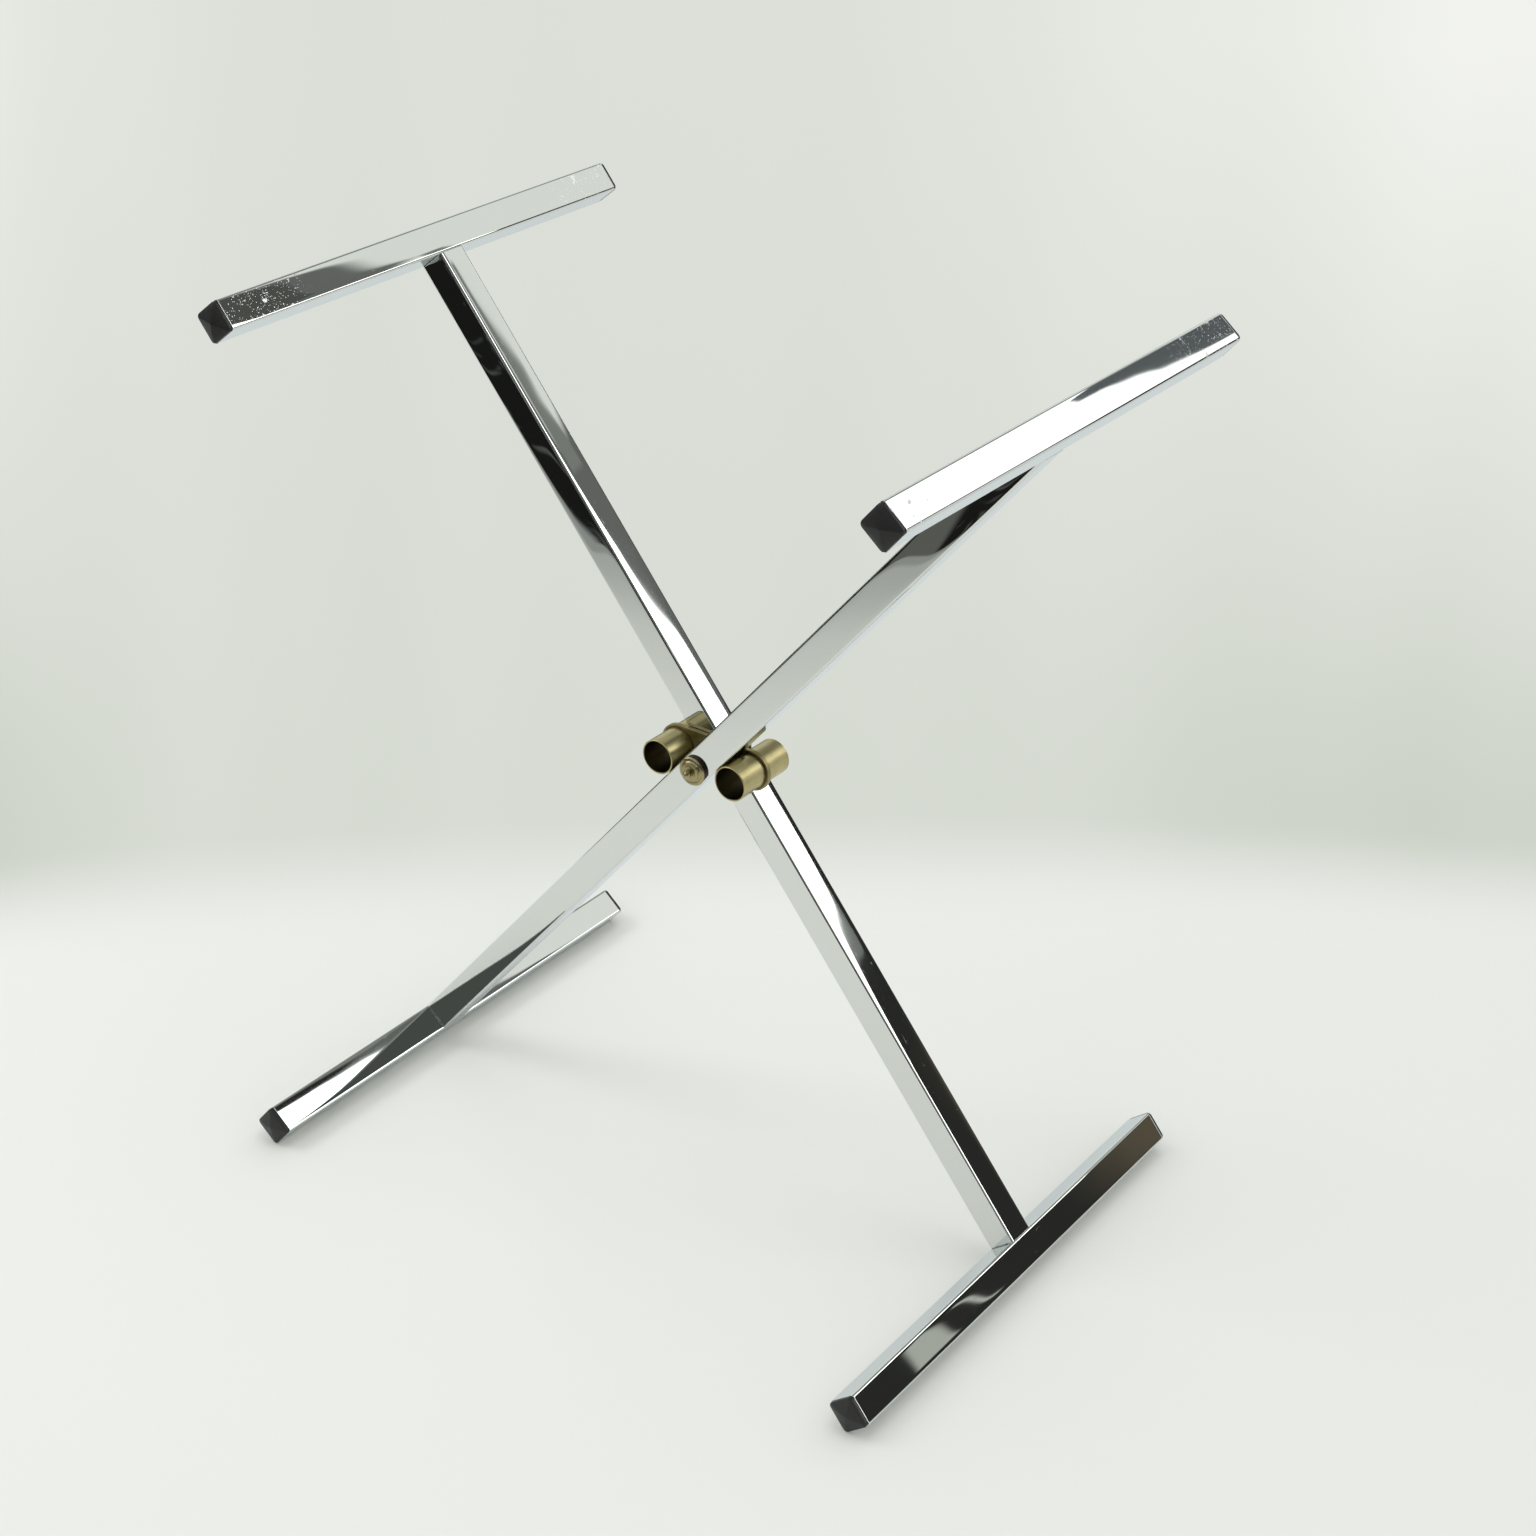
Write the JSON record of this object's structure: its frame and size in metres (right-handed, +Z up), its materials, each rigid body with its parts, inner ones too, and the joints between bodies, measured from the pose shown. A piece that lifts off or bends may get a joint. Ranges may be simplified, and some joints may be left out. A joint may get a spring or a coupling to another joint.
{
  "type": "folding x-frame stand",
  "caption": "Folding X-frame stand of chromed square tube with T cross-bars, a brass stop link at the pivot and black end caps.",
  "frame": {"origin": "on the floor, under the middle of the pivot, with the stand open", "axes": "+Z up; +Y along the pivot bolt from the front leg to the rear leg; +X to the right, towards the top of the front leg and the foot of the rear leg"},
  "size_m": [0.488, 0.354, 0.5864],
  "materials": {
    "chrome_tube": "polished chrome plate on square steel tube",
    "chromed_weld": "chrome plated over a ground fillet weld",
    "end_cap": "satin black moulded plastic",
    "stop_link": "brushed brass, gone dull",
    "cap_nut": "turned brass, gone dull",
    "dark_washer": "blackened steel",
    "plain_steel": "plain steel, hidden in the pivot"
  },
  "bodies": {
    "front_leg": {"front_leg_tube": "chrome_tube", "front_leg_top_bar": "chrome_tube", "front_leg_top_bar_front_cap": "end_cap", "front_leg_top_front_weld": "chromed_weld", "front_leg_top_bar_back_cap": "end_cap", "front_leg_top_back_weld": "chromed_weld", "front_leg_bottom_bar": "chrome_tube", "front_leg_bottom_bar_front_cap": "end_cap", "front_leg_bottom_front_weld": "chromed_weld", "front_leg_bottom_bar_back_cap": "end_cap", "front_leg_bottom_back_weld": "chromed_weld", "front_leg_pivot_bush": "plain_steel", "front_face_washer": "dark_washer", "front_cap_nut": "cap_nut", "rear_face_washer": "dark_washer", "rear_cap_nut": "cap_nut", "front_link_washer": "plain_steel", "rear_link_washer": "plain_steel", "pivot_bolt": "plain_steel"},
    "rear_leg": {"rear_leg_tube": "chrome_tube", "rear_leg_top_bar": "chrome_tube", "rear_leg_top_bar_front_cap": "end_cap", "rear_leg_top_front_weld": "chromed_weld", "rear_leg_top_bar_back_cap": "end_cap", "rear_leg_top_back_weld": "chromed_weld", "rear_leg_bottom_bar": "chrome_tube", "rear_leg_bottom_bar_front_cap": "end_cap", "rear_leg_bottom_front_weld": "chromed_weld", "rear_leg_bottom_bar_back_cap": "end_cap", "rear_leg_bottom_back_weld": "chromed_weld", "rear_leg_pivot_bush": "plain_steel"},
    "stop_link": {"link_plate": "stop_link", "left_stop_sleeve": "stop_link", "right_stop_sleeve": "stop_link"}
  },
  "joints": [
    {"name": "fold_pivot", "type": "hinge", "parent": "front_leg", "child": "rear_leg", "pos_m": [0, 0, 0.29318], "axis": [0, 1, 0], "range_deg": [0, 75]},
    {"name": "link_turn", "type": "hinge", "parent": "front_leg", "child": "stop_link", "pos_m": [0, 0, 0.29318], "axis": [0, 1, 0], "range_deg": [0, 37.5]}
  ],
  "couplings": [
    {"joint": "link_turn", "follows": "fold_pivot", "ratio": 0.5}
  ]
}
